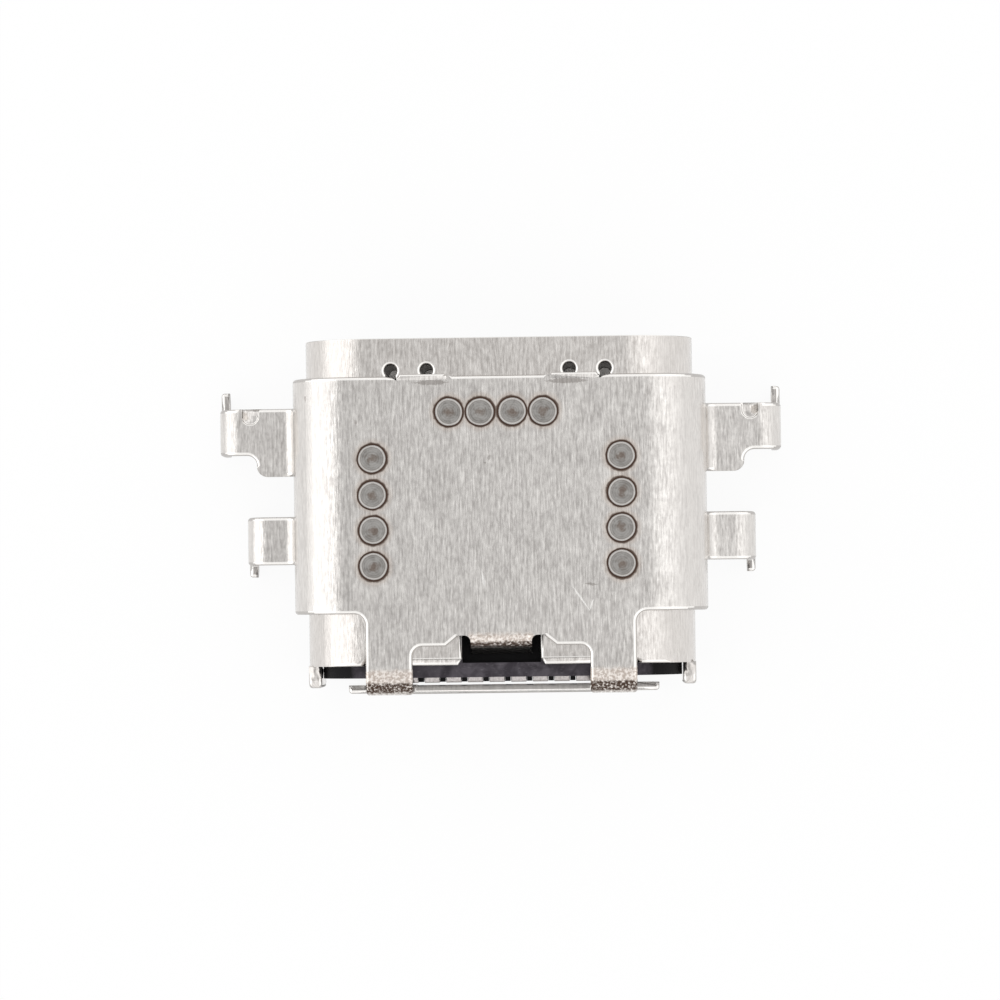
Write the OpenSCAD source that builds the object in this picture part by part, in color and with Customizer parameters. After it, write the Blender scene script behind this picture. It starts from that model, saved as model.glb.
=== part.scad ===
// Mid-mount USB Type-C receptacle: a rolled inner shell, a welded outer cover with
// clip legs, and an insert-moulded tongue with two rows of twelve contacts.
// The plug enters along +Y. The origin is the centre of the mouth, and +Z points
// away from the circuit board. Millimetres.

/* [Plug opening] */
// Width of the opening that the plug enters
mouth_w = 8.34; // [8.2:0.02:10.2]
// Height of the opening that the plug enters
mouth_h = 2.56; // [2.4:0.02:3.1]
// Distance from the mouth to the back wall of the cavity
cavity_depth = 6.2; // [5.2:0.05:7.5]
// Chamfer inside the mouth's rim
mouth_chamfer = 0.06; // [0.02:0.01:0.1]

/* [Inner shell] */
// Sheet thickness of the inner shell
shell_t = 0.3; // [0.25:0.01:0.36]
// Length of the inner shell behind the cavity's back wall
shell_back = 1.3; // [1.25:0.05:1.6]
// Width of a lanced spring finger
spring_w = 0.62; // [0.5:0.01:0.75]
// Length of a lanced spring finger
spring_len = 2.3; // [1.5:0.05:2.8]
// Width of the slots beside a spring finger
slot_w = 0.2; // [0.14:0.01:0.24]
// Width of the seam that closes the sheet underneath
seam_w = 0.03; // [0.02:0.005:0.05]

/* [Outer cover] */
// Sheet thickness of the outer cover
cover_t = 0.2; // [0.15:0.01:0.25]
// Clearance between the cover and the sides of the inner shell
cover_gap = 0.1; // [0.03:0.01:0.15]
// Outer radius of the cover's long side bends
side_bend_r = 1.4; // [1.3:0.01:1.6]
// Distance from the mouth back to the cover's front edge
cover_front = 0.88; // [0.8:0.01:1.0]
// Length of the inner shell that shows behind the cover's side walls
cover_setback = 1.2; // [1.0:0.02:1.5]
// Half width of the cover behind its side walls
tail_plate_half = 3.1; // [2.9:0.01:3.2]
// Half width of the window in the cover's rear end
window_half = 2.03; // [1.8:0.01:2.2]
// Height of the bar that closes the window below
bar_h = 0.7; // [0.5:0.05:0.9]
// Half width of the centre tab
key_half = 0.7; // [0.5:0.05:0.8]

/* [Board and legs] */
// How far the board's top face lies below the plug axis
seat_drop = 0.65; // [0.55:0.01:0.75]
// Thickness of the board
board_t = 0.8; // [0.6:0.05:1.0]
// Height of the toes that hook under the board
toe_h = 0.33; // [0.25:0.01:0.4]
// Reach of the long toes
toe_reach = 0.42; // [0.3:0.01:0.5]
// Reach of the front wings beyond the side walls
front_reach = 1.78; // [1.5:0.01:2.2]
// Front edge of the front wings
front_wing_y = 1.5; // [1.35:0.01:1.6]
// Length of a front wing at its root
front_wing_root = 1.58; // [1.5:0.01:2.0]
// Length of a front leg
front_leg_len = 1.08; // [1.0:0.01:1.3]
// Reach of the rear wings beyond the side walls
rear_reach = 1.16; // [1.0:0.01:1.5]
// Distance between a front wing and a rear wing
wing_space = 0.94; // [0.5:0.01:1.1]
// Length of a rear wing
rear_wing_len = 1.12; // [0.9:0.01:1.3]

/* [Contacts] */
// Pitch of the contacts
pitch = 0.5; // [0.42:0.01:0.6]
// Width of a contact
contact_w = 0.25; // [0.2:0.01:0.3]
// Thickness of a contact
contact_t = 0.12; // [0.1:0.01:0.15]
// Gap between the shoulders of the upper tails
shoulder_gap = 0.14; // [0.12:0.01:0.2]
// Sideways jog of the upper tails
tail_jog = 0.12; // [0:0.01:0.15]
// Space between the upper tails and the cover's rear wall
tail_space = 0.06; // [0.04:0.01:0.2]

/* [Tongue] */
// Thickness of the tongue
tongue_t = 0.7; // [0.6:0.01:0.85]
// Distance from the mouth back to the tongue's tip
tongue_tip = 0.95; // [0.8:0.01:1.1]
// Length of the thick root in front of the back wall
root_len = 0.8; // [0.7:0.05:1.0]
// Plastic beside the outer contacts on the tongue
tongue_edge = 0.405; // [0.3:0.005:0.45]
// Thickness of the steel plate in the middle of the tongue
plate_t = 0.15; // [0.1:0.01:0.18]
// How far that plate stands out of each side of the tongue
plate_proud = 0.065; // [0.04:0.005:0.1]
// Thickness of the ground plates at the tongue's root
ground_t = 0.12; // [0.08:0.01:0.15]
// Height of the root's steps over the tongue, plates included
root_step = 0.2; // [0.18:0.01:0.3]
// Clearance round the moulding in the shell
fit_gap = 0.02; // [0.01:0.01:0.05]

/* [Hidden] */
$fn = 64;
e = 0.01;                           // overlap between shapes that are fused or cut
far = 40;                           // longer than anything in the model
per_row = 12;
c_shell = [0.78, 0.77, 0.75];
c_cover = [0.82, 0.81, 0.79];
c_black = [0.12, 0.12, 0.13];
c_gold = [0.86, 0.70, 0.36];

// inner shell
shell_w = mouth_w + 2 * shell_t;
shell_h = mouth_h + 2 * shell_t;
shell_top = shell_h / 2;
wall_in = mouth_h / 2;              // inner face of the shell's flat walls
shell_len = cavity_depth + shell_back;
strip_len = 0.15;                   // coined strip at the shell's rear edge
strip_y = shell_len - strip_len;
strip_drop = 0.06;
spring_x = 2.045;                   // middle of a spring finger
relief_r = 0.14;
relief_y = cover_front - 0.14;
spring_root = cover_front + 0.02;

// the board, and what stands on it
board_top = -seat_drop;
board_gap = 0.05;                   // between the board and what stands over it
step_y = shell_len - 0.9;           // behind this the shell stands on the board
leg_tip = board_top - board_t - toe_h;
tail_tip = leg_tip + 0.2;

// moulding
moulding_end = shell_len + 0.28;
carrier_y = step_y + 0.05;
pocket_y = step_y + 0.1;            // pocket for the cover's centre tab
pocket_half = key_half + 0.2;
pocket_floor = wall_in - 0.33;

// contacts
shoulder_w = pitch - shoulder_gap;
tail_r = 0.06;                      // inner radius of the contacts' bends
contact_z = tongue_t / 2 - contact_t;
tail_in = moulding_end + 0.01;
lower_tail_y = shell_len - 0.4;
row_half = (per_row - 1) * pitch / 2;
carrier_half = row_half + shoulder_w / 2 + tail_jog + 0.03;

// tongue
tongue_half = row_half + contact_w / 2 + tongue_edge;
tongue_root = cavity_depth - root_len;
root_z = tongue_t / 2 + root_step;
plate_half = tongue_half + plate_proud;
plate_leg_y = carrier_y + 0.2;
plate_leg_len = 0.4;
plate_leg_x = carrier_half + 0.22;
latch_y = tongue_tip + 1.6;
latch_len = 1.15;
latch_depth = 0.4;

// cover
cover_half = shell_w / 2 + cover_gap + cover_t;
cover_top = shell_top + cover_t;
cover_side_end = shell_len - cover_setback;
rear_wall_in = tail_in + contact_t + tail_space;
rear_wall_y = rear_wall_in + cover_t;
rear_bend_r = cover_t + 0.12;       // outer radius of the rear bend
bar_low = board_top + board_gap;
bar_top = bar_low + bar_h;
window_y = shell_len - 0.44;
window_neck_y = shell_len - 0.68;
window_neck_half = key_half + 0.25;
window_neck_foot = window_neck_half + 0.32;
window_r = 0.22;
lip_t = 0.1;                        // thickness the coined lips of the front edge keep
lip_in = 1.17;                      // inner and outer ends of a coined lip
lip_out = 2.34;
dimple_x = cover_half + 1.05;       // middle of the coined dimple in a front wing
dimple_r = 0.19;
dimple_depth = 0.06;
key_bend_y = shell_len - 0.4;
key_foot_end = key_bend_y + 0.15;

// wings and legs
wing_top = board_top + cover_t;
root_r = 0.28;                      // inner radius where a wing leaves the side wall
leg_r = 0.32;                       // inner radius where a leg turns down
wall_low = wing_top + root_r;
front_leg_x = cover_half + front_reach;
rear_leg_x = cover_half + rear_reach;
front_wing_end = front_wing_y + front_wing_root;
front_leg_end = front_wing_y + front_leg_len;
wing_step_x = front_leg_x - 0.88;
wing_step_r = 0.24;
rear_wing_y = front_wing_end + wing_space;
rear_wing_end = rear_wing_y + rear_wing_len;

function long_pin(i) = i == 1 || i == 4 || i == 9 || i == per_row;
function pin_front(i) = tongue_tip + (long_pin(i) ? 0.5 : 0.9);
function pin_x(i) = (i - 1) * pitch - row_half;

// ---- helpers -------------------------------------------------------------

// Extrudes an (x, z) profile from y0 to y1
module along_y(y0, y1) {
    translate([0, y1, 0]) rotate([90, 0, 0]) linear_extrude(y1 - y0) children();
}

// Extrudes a (y, z) profile from x0 to x1
module along_x(x0, x1) {
    translate([x0, 0, 0]) rotate([90, 0, 90]) linear_extrude(x1 - x0) children();
}

// Extrudes an (x, y) outline from z0 to z1
module along_z(z0, z1) {
    translate([0, 0, z0]) linear_extrude(z1 - z0) children();
}

module box(x0, x1, y0, y1, z0, z1) {
    translate([x0, y0, z0]) cube([x1 - x0, y1 - y0, z1 - z0]);
}

// The shape on both sides of the YZ plane
module both_sides() {
    children();
    mirror([1, 0, 0]) children();
}

module stadium(w, h) {
    square([w - h, h], center = true);
    for (s = [-1, 1]) translate([s * (w - h) / 2, 0]) circle(d = h);
}

// One quarter of a bent sheet: inner radius r, thickness t, in quadrant (sx, sz)
module bend(r, t, sx, sz) {
    intersection() {
        difference() {
            circle(r = r + t);
            circle(r = r);
        }
        translate([sx < 0 ? -far : 0, sz < 0 ? -far : 0]) square(far);
    }
}

// The material that rounds an inside corner at the origin, in quadrant (sx, sy)
module corner_fill(r, sx, sy) {
    flip_x = sx < 0 ? 1 : 0;
    flip_y = sy < 0 ? 1 : 0;
    mirror([flip_x, 0]) mirror([0, flip_y]) difference() {
        translate([-e, -e]) square(r + e);
        translate([r, r]) circle(r = r);
    }
}

// ---- outer cover ---------------------------------------------------------

// Arch over the inner shell, open below: half width, height of its crown, radius of its shoulders
module arch_2d(half, crown, r, low) {
    translate([-half, low]) square([2 * half, crown - r - low]);
    translate([r - half, low]) square([2 * (half - r), crown - low]);
    for (s = [-1, 1]) translate([s * (half - r), crown - r]) intersection() {
        circle(r = r);
        translate([-far / 2, -e]) square(far);
    }
}

// Cross-section of the saddle that grips the inner shell
module saddle_2d() {
    difference() {
        arch_2d(cover_half, cover_top, side_bend_r, wall_low);
        arch_2d(cover_half - cover_t, shell_top, side_bend_r - cover_t, wall_low - e);
    }
}

// Cross-section of a wing and its leg, whose outer face is at leg_x
module wing_2d(leg_x) {
    out_r = leg_r + cover_t;
    translate([cover_half + root_r, wall_low]) bend(root_r, cover_t, -1, -1);
    translate([cover_half + root_r, wing_top - cover_t])
        square([leg_x - out_r - cover_half - root_r, cover_t]);
    translate([leg_x - out_r, wing_top - out_r]) bend(leg_r, cover_t, 1, 1);
    translate([leg_x - cover_t, leg_tip]) square([cover_t, wing_top - out_r - leg_tip]);
}

// Outline of a toe: it reaches out from the origin along +u and its sole is at 0
module toe_2d(reach) {
    polygon([[-e, 0], [reach * 0.45, 0], [reach, 0.16], [reach, toe_h - 0.05],
             [reach - 0.05, toe_h], [-e, toe_h]]);
}

// Plan of what the front wing loses where it narrows to the leg
module wing_step_2d() {
    difference() {
        translate([wing_step_x, front_leg_end]) square(far);
        translate([wing_step_x, front_leg_end]) corner_fill(wing_step_r, 1, 1);
    }
    translate([wing_step_x, front_wing_end]) corner_fill(wing_step_r, -1, -1);
}

// Plan of the coined dimple, open at the front edge
module dimple_2d() {
    translate([dimple_x, front_wing_y + 0.17]) circle(r = dimple_r);
    translate([dimple_x - dimple_r, front_wing_y - e]) square([2 * dimple_r, 0.17 + e]);
}

module front_wing() {
    difference() {
        along_y(front_wing_y, front_wing_end) wing_2d(front_leg_x);
        along_z(-far, far) wing_step_2d();
        // coined dimple in the front edge
        along_z(wing_top - dimple_depth, far) dimple_2d();
    }
    along_x(front_leg_x - cover_t, front_leg_x)
        translate([front_wing_y, leg_tip]) mirror([1, 0]) toe_2d(toe_reach);
}

module rear_wing() {
    along_y(rear_wing_y, rear_wing_end) wing_2d(rear_leg_x);
    along_x(rear_leg_x - cover_t, rear_leg_x)
        translate([rear_wing_end, leg_tip]) toe_2d(toe_reach * 0.65);
}

// Side profile of the top plate, the rear bend and the rear wall
module rear_profile_2d() {
    translate([cover_side_end - 1, shell_top])
        square([rear_wall_y - rear_bend_r - cover_side_end + 1, cover_t]);
    translate([rear_wall_y - rear_bend_r, cover_top - rear_bend_r])
        bend(rear_bend_r - cover_t, cover_t, 1, 1);
    translate([rear_wall_in, leg_tip])
        square([cover_t, cover_top - rear_bend_r - leg_tip]);
}

// Plan of the rear window as far as it lies in the top plate
module window_2d() {
    difference() {
        translate([-window_half, window_y]) square([2 * window_half, far]);
        for (s = [-1, 1]) translate([s * window_half, window_y]) corner_fill(window_r, -s, 1);
    }
    polygon([[-window_neck_foot, window_y + e], [-window_neck_foot, window_y],
             [-window_neck_half - 0.06, window_neck_y + 0.03], [-window_neck_half, window_neck_y],
             [window_neck_half, window_neck_y], [window_neck_half + 0.06, window_neck_y + 0.03],
             [window_neck_foot, window_y], [window_neck_foot, window_y + e]]);
}

// Centre tab, joggled down into the moulding's pocket
module key_tab() {
    r = 0.1;
    start = window_neck_y - 0.1;
    down_y = key_bend_y - cover_t;
    along_x(-key_half, key_half) {
        translate([start, shell_top]) square([down_y - r - start, cover_t]);
        translate([down_y - r, cover_top - r - cover_t]) bend(r, cover_t, 1, 1);
        translate([down_y, pocket_floor]) square([cover_t, cover_top - r - cover_t - pocket_floor]);
        translate([down_y, pocket_floor]) square([key_foot_end - down_y, cover_t]);
    }
    // flared root
    both_sides() along_z(shell_top, cover_top)
        translate([key_half, window_neck_y]) corner_fill(0.14, 1, 1);
}

module outer_cover() {
    color(c_cover) {
        difference() {
            union() {
                along_y(cover_front, cover_side_end) saddle_2d();
                along_x(-tail_plate_half, tail_plate_half) rear_profile_2d();
                both_sides() {
                    along_z(shell_top, cover_top)
                        translate([tail_plate_half, cover_side_end]) corner_fill(0.25, 1, 1);
                    along_y(rear_wall_in, rear_wall_y)
                        translate([tail_plate_half, leg_tip]) toe_2d(toe_reach + 0.12);
                }
            }
            // window, down to the bar
            along_z(bar_top, far) window_2d();
            // opening between the rear legs, under the bar
            box(-window_half, window_half, rear_wall_in - e, far, -far, bar_low);
            // the front edge steps back over its coined lips
            both_sides() along_z(shell_top + lip_t, far)
                polygon([[lip_in, cover_front - e], [lip_out + 0.28, cover_front - e],
                         [lip_out + 0.12, cover_front + 0.02], [lip_out, cover_front + 0.09],
                         [lip_in, cover_front + 0.09]]);
            both_sides() along_z(-e, far)
                polygon([[lip_out - 0.02, cover_front - e], [lip_out + 0.28, cover_front - e],
                         [lip_out + 0.12, cover_front + 0.02], [lip_out, cover_front + 0.09],
                         [lip_out - 0.02, cover_front + 0.09]]);
        }
        // coined lips
        both_sides() along_z(shell_top, shell_top + lip_t)
            polygon([[lip_in + 0.05, cover_front + 0.1], [lip_in + 0.05, cover_front - 0.05],
                     [lip_out - 0.1, cover_front - 0.05], [lip_out - 0.02, cover_front + 0.02],
                     [lip_out - 0.02, cover_front + 0.1]]);
        key_tab();
        both_sides() {
            front_wing();
            rear_wing();
        }
    }
}

// ---- inner shell ---------------------------------------------------------

// Slots round one spring finger, with a round relief at each root
module spring_slot_2d() {
    outer = spring_w / 2 + slot_w;
    translate([spring_x - outer, spring_root])
        square([2 * outer, spring_len + slot_w]);
    for (s = [-1, 1])
        translate([spring_x + s * (outer - slot_w / 2), relief_y]) {
            circle(r = relief_r);
            translate([-slot_w / 2, 0]) square([slot_w, spring_root - relief_y + e]);
        }
}

// Side profile of a spring finger that bears on the plug
module spring_2d() {
    end = spring_root + spring_len;
    nose = end - 0.45;
    polygon([[spring_root - e, wall_in], [nose, wall_in - 0.13], [nose + 0.12, wall_in - 0.13],
             [end, wall_in + 0.02], [end, shell_top - 0.06], [nose, shell_top - 0.2],
             [spring_root - e, shell_top]]);
}

// A straight stretch of the seam, between two points of the plan
module seam_line(a, b) {
    d = b - a;
    translate(a) rotate(atan2(d[1], d[0])) translate([-seam_w / 2, -seam_w / 2])
        square([norm(d) + seam_w, seam_w]);
}

// The seam, with one dovetail at each of the given distances from the mouth
module seam_2d() {
    keys = [1.7, step_y - 2];
    neck = 0.28;
    head = 0.42;
    reach = 0.5;
    seam_line([0, -e], [0, keys[0] - neck]);
    for (k = keys) {
        seam_line([0, k - neck], [reach, k - head]);
        seam_line([reach, k - head], [reach, k + head]);
        seam_line([reach, k + head], [0, k + neck]);
    }
    seam_line([0, keys[0] + neck], [0, keys[1] - neck]);
    seam_line([0, keys[1] + neck], [0, step_y + e]);
}

// Flat leg that continues one side wall behind the shell and goes through the board
module shell_leg() {
    leg_end = shell_len + 0.5;
    leg_w = 0.42;
    root_half = 0.45;
    tip_r = leg_w / 2;
    along_x(shell_w / 2 - shell_t, shell_w / 2) {
        translate([shell_len - e, -root_half])
            square([leg_end - 0.2 - shell_len + e, 2 * root_half]);
        translate([leg_end - 0.2, root_half - 0.2]) circle(r = 0.2);
        translate([leg_end - leg_w, tail_tip + tip_r])
            square([leg_w, root_half - 0.2 - tail_tip - tip_r]);
        translate([leg_end - tip_r, tail_tip + tip_r]) circle(r = tip_r);
    }
}

// Chamfer inside the mouth's rim
module mouth_lead_in() {
    c = mouth_chamfer;
    for (s = [-1, 1])
        translate([s * (mouth_w - mouth_h) / 2, -e, 0]) rotate([-90, 0, 0])
            cylinder(r1 = wall_in + c + e, r2 = wall_in, h = c + e);
    along_x(-(mouth_w - mouth_h) / 2, (mouth_w - mouth_h) / 2)
        polygon([[-e, -wall_in - c - e], [c, -wall_in], [c, wall_in], [-e, wall_in + c + e]]);
}

module inner_shell() {
    color(c_shell) {
        difference() {
            along_y(0, shell_len) difference() {
                stadium(shell_w, shell_h);
                stadium(mouth_w, mouth_h);
            }
            mouth_lead_in();
            // springs above and below
            both_sides() {
                along_z(wall_in - 0.2, far) spring_slot_2d();
                along_z(-far, 0.2 - wall_in) spring_slot_2d();
            }
            // slot for the cover's centre tab, with chamfered mouths
            box(-pocket_half, pocket_half, pocket_y, far, 0, far);
            both_sides() along_z(0, far)
                polygon([[pocket_half - e, strip_y], [pocket_half, strip_y],
                         [pocket_half + 0.1, shell_len + e], [pocket_half - e, shell_len + e]]);
            // coined strip along the rear edge
            box(-tail_plate_half, tail_plate_half, strip_y, far, shell_top - strip_drop, far);
            // the rear end stands on the board
            box(-far, far, step_y, far, -far, board_top + board_gap);
            along_z(-far, 0) seam_2d();
        }
        both_sides() {
            along_x(spring_x - spring_w / 2, spring_x + spring_w / 2) spring_2d();
            mirror([0, 0, 1])
                along_x(spring_x - spring_w / 2, spring_x + spring_w / 2) spring_2d();
            shell_leg();
        }
    }
}

// ---- contacts ------------------------------------------------------------

// Plan of an upper contact as far as its rear bend, jogged inside the carrier
module upper_plan_2d(i) {
    x = pin_x(i);
    tail = x - tail_jog;
    w = contact_w / 2;
    s = shoulder_w / 2;
    jog_y = carrier_y + 0.1;
    jog_end = carrier_y + 0.5;
    polygon([[x - w, pin_front(i)], [x + w, pin_front(i)], [x + w, jog_y],
             [tail + w, jog_end], [tail + w, shell_len], [tail + s, shell_len + 0.1],
             [tail + s, tail_in - tail_r + e], [tail - s, tail_in - tail_r + e],
             [tail - s, shell_len + 0.1], [tail - w, shell_len], [tail - w, jog_end],
             [x - w, jog_y]]);
}

// A tail through the board: tapered point, seen from behind, tip at the origin
module tail_2d(len) {
    w = contact_w / 2;
    polygon([[-w * 0.5, 0], [w * 0.5, 0], [w, 0.2], [w, len], [-w, len], [-w, 0.2]]);
}

module upper_contact(i) {
    tail = pin_x(i) - tail_jog;
    neck_z = -0.2;
    color(c_gold) {
        along_z(contact_z, contact_z + contact_t) upper_plan_2d(i);
        along_x(tail - shoulder_w / 2, tail + shoulder_w / 2) {
            translate([tail_in - tail_r, contact_z - tail_r]) bend(tail_r, contact_t, 1, 1);
            translate([tail_in, neck_z]) square([contact_t, contact_z - tail_r - neck_z]);
        }
        along_y(tail_in, tail_in + contact_t)
            translate([tail, tail_tip]) tail_2d(neck_z - tail_tip + e);
    }
}

module lower_contact(i) {
    x = -pin_x(i);
    out_r = tail_r + contact_t;
    color(c_gold) {
        along_x(x - contact_w / 2, x + contact_w / 2) {
            translate([pin_front(i), -contact_z - contact_t])
                square([lower_tail_y - out_r - pin_front(i), contact_t]);
            translate([lower_tail_y - out_r, -contact_z - out_r]) bend(tail_r, contact_t, 1, 1);
        }
        along_y(lower_tail_y - contact_t, lower_tail_y)
            translate([x, tail_tip]) tail_2d(-contact_z - out_r - tail_tip + e);
    }
}

// ---- steel plates in the moulding ----------------------------------------

module mid_plate() {
    r = 0.05;
    out_r = r + plate_t;
    half_t = plate_t / 2;
    color(c_shell) {
        difference() {
            union() {
                box(-plate_half, plate_half, tongue_tip + 0.12, tongue_root, -half_t, half_t);
                box(out_r - plate_leg_x, plate_leg_x - out_r, tongue_root - e,
                    plate_leg_y + plate_leg_len, -half_t, half_t);
            }
            // latch notches and clipped front corners
            both_sides() along_z(-far, far) {
                polygon([[plate_half + e, latch_y], [plate_half - latch_depth, latch_y + 0.1],
                         [plate_half - latch_depth, latch_y + latch_len],
                         [plate_half + e, latch_y + latch_len + 0.2]]);
                polygon([[plate_half - 0.3, tongue_tip], [plate_half + e, tongue_tip],
                         [plate_half + e, tongue_tip + 0.5]]);
            }
            // holes that the moulding locks through
            for (x = [-1.9, 0, 1.9])
                translate([x, tongue_root + 0.4, -1]) cylinder(d = 0.5, h = 2);
            // shoulders in front of the legs
            both_sides() box(carrier_half - 0.1, far, cavity_depth - 0.1, plate_leg_y, -1, 1);
        }
        both_sides() along_y(plate_leg_y, plate_leg_y + plate_leg_len) {
            translate([plate_leg_x - out_r, half_t - out_r]) bend(r, plate_t, 1, 1);
            translate([plate_leg_x - plate_t, tail_tip])
                square([plate_t, half_t - out_r - tail_tip]);
        }
    }
}

// Ground plate on the tongue's root, with a flange up the back wall
module ground_plate() {
    half = (mouth_w - mouth_h) / 2 + 0.2;
    start = tongue_root + 0.05;
    flange_top = wall_in - 0.15;
    flange_y = cavity_depth - ground_t;
    r = 0.06;
    color(c_shell) difference() {
        along_x(-half, half) {
            translate([start, root_z - ground_t]) square([flange_y - r - start, ground_t]);
            translate([flange_y - r, root_z + r]) bend(r, ground_t, 1, -1);
            translate([flange_y, root_z + r]) square([ground_t, flange_top - root_z - r]);
        }
        // notches between the three tabs of the flange
        for (s = [-1, 1])
            translate([s * half * 0.4 - 0.25, flange_y - e, root_z + 0.2])
                cube([0.5, ground_t + 2 * e, far]);
    }
}

// ---- mouldings -----------------------------------------------------------

module all_contacts() {
    for (i = [1 : per_row]) {
        upper_contact(i);
        lower_contact(i);
    }
}

module upper_carrier_body() {
    box(-carrier_half, carrier_half, carrier_y, moulding_end, plate_t / 2,
        contact_z + contact_t + 0.5);
}

module lower_carrier_body() {
    box(-carrier_half, carrier_half, carrier_y, moulding_end, board_top + board_gap,
        -plate_t / 2);
}

module upper_contact_carrier() {
    rib = shoulder_gap - 0.02;
    rib_x = (pitch - rib) / 2 - tail_jog;
    color(c_black) difference() {
        union() {
            upper_carrier_body();
            // comb between the tails
            for (i = [1 : per_row - 1])
                translate([pin_x(i) + rib_x, moulding_end - e, plate_t / 2])
                    cube([rib, contact_t, contact_z + contact_t - plate_t / 2]);
        }
        for (i = [1 : per_row]) upper_contact(i);
    }
}

module lower_contact_carrier() {
    color(c_black) difference() {
        lower_carrier_body();
        for (i = [1 : per_row]) lower_contact(i);
    }
}

module tongue_body() {
    tip_r = 0.25;
    nose = 0.15;
    half_t = tongue_t / 2;
    intersection() {
        along_z(-half_t, half_t) {
            translate([-tongue_half, tongue_tip + tip_r])
                square([2 * tongue_half, tongue_root - tongue_tip - tip_r + e]);
            translate([tip_r - tongue_half, tongue_tip])
                square([2 * (tongue_half - tip_r), tip_r + e]);
            for (s = [-1, 1])
                translate([s * (tongue_half - tip_r), tongue_tip + tip_r]) circle(r = tip_r);
        }
        along_x(-far, far)
            polygon([[tongue_tip, nose - half_t], [tongue_tip + nose, -half_t],
                     [far, -half_t], [far, half_t],
                     [tongue_tip + nose, half_t], [tongue_tip, half_t - nose]]);
    }
}

module tongue_housing() {
    root_half = tongue_half + 0.1;
    recess = plate_half - latch_depth - 0.02;
    color(c_black) difference() {
        union() {
            tongue_body();
            box(-root_half, root_half, tongue_root, cavity_depth + e,
                ground_t - root_z, root_z - ground_t);
            along_y(cavity_depth, moulding_end)
                stadium(mouth_w - 2 * fit_gap, mouth_h - 2 * fit_gap);
        }
        // latch recesses in the tongue's sides
        both_sides() along_z(-far, far)
            polygon([[tongue_half + 1, latch_y - 0.1], [recess, latch_y + 0.1],
                     [recess, latch_y + latch_len], [tongue_half + 1, latch_y + latch_len + 0.4]]);
        // pocket for the cover's centre tab
        box(-pocket_half, pocket_half, pocket_y, strip_y + 0.1, pocket_floor, far);
        // step that stands on the board
        box(-far, far, step_y - 0.1, far, -far, board_top + board_gap);
        // space for the shell's side legs
        both_sides()
            box(shell_w / 2 - shell_t - fit_gap, far, shell_len - 0.5, far, -far, far);
        upper_carrier_body();
        lower_carrier_body();
        mid_plate();
        all_contacts();
    }
}

// ---- one solid for each node ---------------------------------------------

outer_cover();
inner_shell();
tongue_housing();
upper_contact_carrier();
lower_contact_carrier();
mid_plate();
ground_plate();  // upper_ground_plate
mirror([0, 0, 1]) ground_plate();  // lower_ground_plate
for (i = [1 : per_row]) {
    upper_contact(i);
    lower_contact(i);
}
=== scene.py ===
"""Looks of a mid-mount USB-C socket: rolled steel sheets, laser welds, gold contacts, black mouldings."""
import math
import random

import bmesh
import bpy
from mathutils import Matrix, Vector


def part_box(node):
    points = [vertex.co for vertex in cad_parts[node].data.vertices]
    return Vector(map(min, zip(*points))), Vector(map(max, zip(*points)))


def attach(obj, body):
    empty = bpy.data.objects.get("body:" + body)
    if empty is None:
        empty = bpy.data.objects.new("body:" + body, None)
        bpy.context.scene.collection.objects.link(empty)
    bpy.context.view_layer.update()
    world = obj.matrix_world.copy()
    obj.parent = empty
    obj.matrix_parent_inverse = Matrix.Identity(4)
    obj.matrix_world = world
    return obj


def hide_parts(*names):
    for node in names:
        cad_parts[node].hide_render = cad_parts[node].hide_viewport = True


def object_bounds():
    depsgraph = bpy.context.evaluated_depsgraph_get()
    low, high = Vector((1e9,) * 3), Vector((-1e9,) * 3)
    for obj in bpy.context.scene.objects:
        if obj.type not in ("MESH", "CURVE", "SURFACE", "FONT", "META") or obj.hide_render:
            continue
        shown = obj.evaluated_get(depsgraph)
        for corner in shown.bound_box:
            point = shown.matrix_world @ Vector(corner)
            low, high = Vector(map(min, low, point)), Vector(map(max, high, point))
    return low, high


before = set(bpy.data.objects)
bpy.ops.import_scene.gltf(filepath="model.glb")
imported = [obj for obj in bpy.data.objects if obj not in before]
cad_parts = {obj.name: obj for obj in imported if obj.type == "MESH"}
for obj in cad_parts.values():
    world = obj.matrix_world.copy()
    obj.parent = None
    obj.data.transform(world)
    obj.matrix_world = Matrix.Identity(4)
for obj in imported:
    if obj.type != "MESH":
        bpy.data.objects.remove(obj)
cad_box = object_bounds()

# ---------------------------------------------------------------- driving sizes in mm
MM = 0.001

# punched and moulded edges
COVER_EDGE = 0.08           # die roll on the outer side of the cover's punched edges
SHELL_EDGE = 0.07           # the same on the shell
ROLL_OF_WALL = 0.45         # the most of a punched wall's height that one die roll takes
BURR_SHARE = 0.2            # rounding of a punched edge's inner side, as a share of the die roll
LEAST_SHARE = 0.05          # the least that a thin lip leaves of it
ROLL_STEPS = 4
ROLL_STRAY = 0.03           # how far a roll's end can pull a flat face's corner out of its plane
PLATE_EDGE = 0.02           # rounding of the plates', the contacts' and the mouldings' edges
CONTACT_EDGE = 0.018
MOULDED_EDGE = 0.03
ROUND_STEPS = 2
SHARP_EDGE = math.radians(40)           # edges that turn more than this are rounded
FLAT_EDGE = math.radians(0.6)           # faces that turn less than this are one flat
SAME_POINT = 0.0001                     # corners closer than this are one corner
SHEET_SHADING = 70                      # how far the large faces rule the shading of the sheets
NODE_SHADING = 50                       # and of the other nodes

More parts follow.
